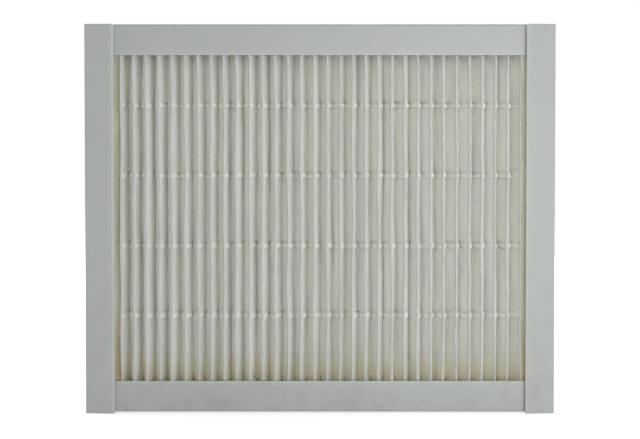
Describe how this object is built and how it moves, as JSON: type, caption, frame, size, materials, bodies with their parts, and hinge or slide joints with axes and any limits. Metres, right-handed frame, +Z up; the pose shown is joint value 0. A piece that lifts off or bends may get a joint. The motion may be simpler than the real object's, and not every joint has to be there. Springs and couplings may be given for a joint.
{
  "type": "pleated panel air filter",
  "caption": "Rectangular air filter panel: a pleated media pack held apart by rows of glue beads, potted into a frame of lapped plastic channels.",
  "frame": {"origin": "On the ground, under the middle of the panel, which stands upright on the lower ends of its two side channels.", "axes": "+X along the panel's width, +Y from the front face to the back face, +Z up along the pleats."},
  "size_m": [0.3, 0.0312, 0.2487],
  "materials": {
    "frame_plastic": "satin",
    "filter_media": "matte",
    "hot_melt": "satin"
  },
  "bodies": {
    "root": {"top_channel": "frame_plastic", "bottom_channel": "frame_plastic", "left_channel": "frame_plastic", "right_channel": "frame_plastic", "filter_media": "filter_media", "top_potting": "hot_melt", "bottom_potting": "hot_melt", "left_seal": "hot_melt", "right_seal": "hot_melt", "front_bead_1": "hot_melt", "front_bead_2": "hot_melt", "front_bead_3": "hot_melt", "front_bead_4": "hot_melt", "back_bead_1": "hot_melt", "back_bead_2": "hot_melt", "back_bead_3": "hot_melt", "back_bead_4": "hot_melt"}
  },
  "joints": []
}
